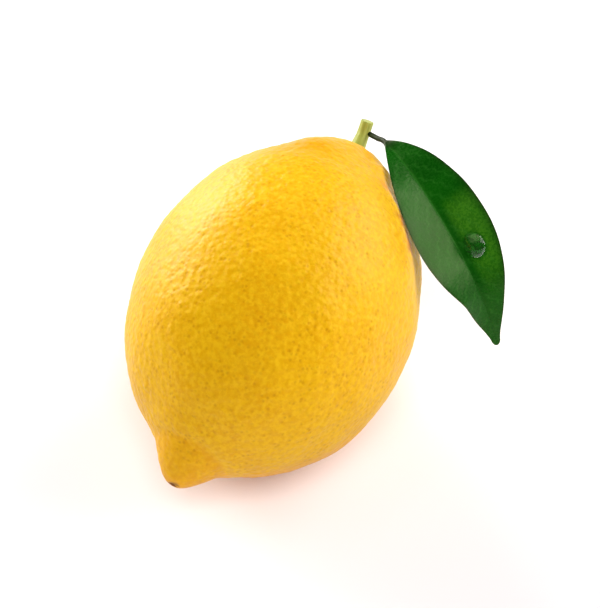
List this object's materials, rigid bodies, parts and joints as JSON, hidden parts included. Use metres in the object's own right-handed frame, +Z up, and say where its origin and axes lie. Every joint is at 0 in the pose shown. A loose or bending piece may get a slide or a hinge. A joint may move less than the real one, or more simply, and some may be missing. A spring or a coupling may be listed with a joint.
{
  "type": "lemon",
  "caption": "Whole lemon lying on its side, with its nipple, cut stem and a folded leaf that carries a drop of water.",
  "frame": {"origin": "middle of the small flat spot on the underside that the fruit rests on", "axes": "+Z up; +X along the fruit as seen from above, from the nipple to the stem; +Y to the left, so the leaf hangs on the -Y side"},
  "size_m": [0.0996, 0.0819, 0.0656],
  "materials": {
    "rind": "waxy yellow citrus rind, satin, pebbled and pitted with small oil glands",
    "stem_green": "pale yellow-green young stem, matt, with fine lengthwise ridges",
    "leaf_green": "dark green leathery leaf, satin above and matt below, with a pale midrib and side veins",
    "water": "clear water"
  },
  "bodies": {
    "root": {"fruit": "rind", "stem": "stem_green", "leaf": "leaf_green", "water_drop": "water"}
  },
  "joints": []
}
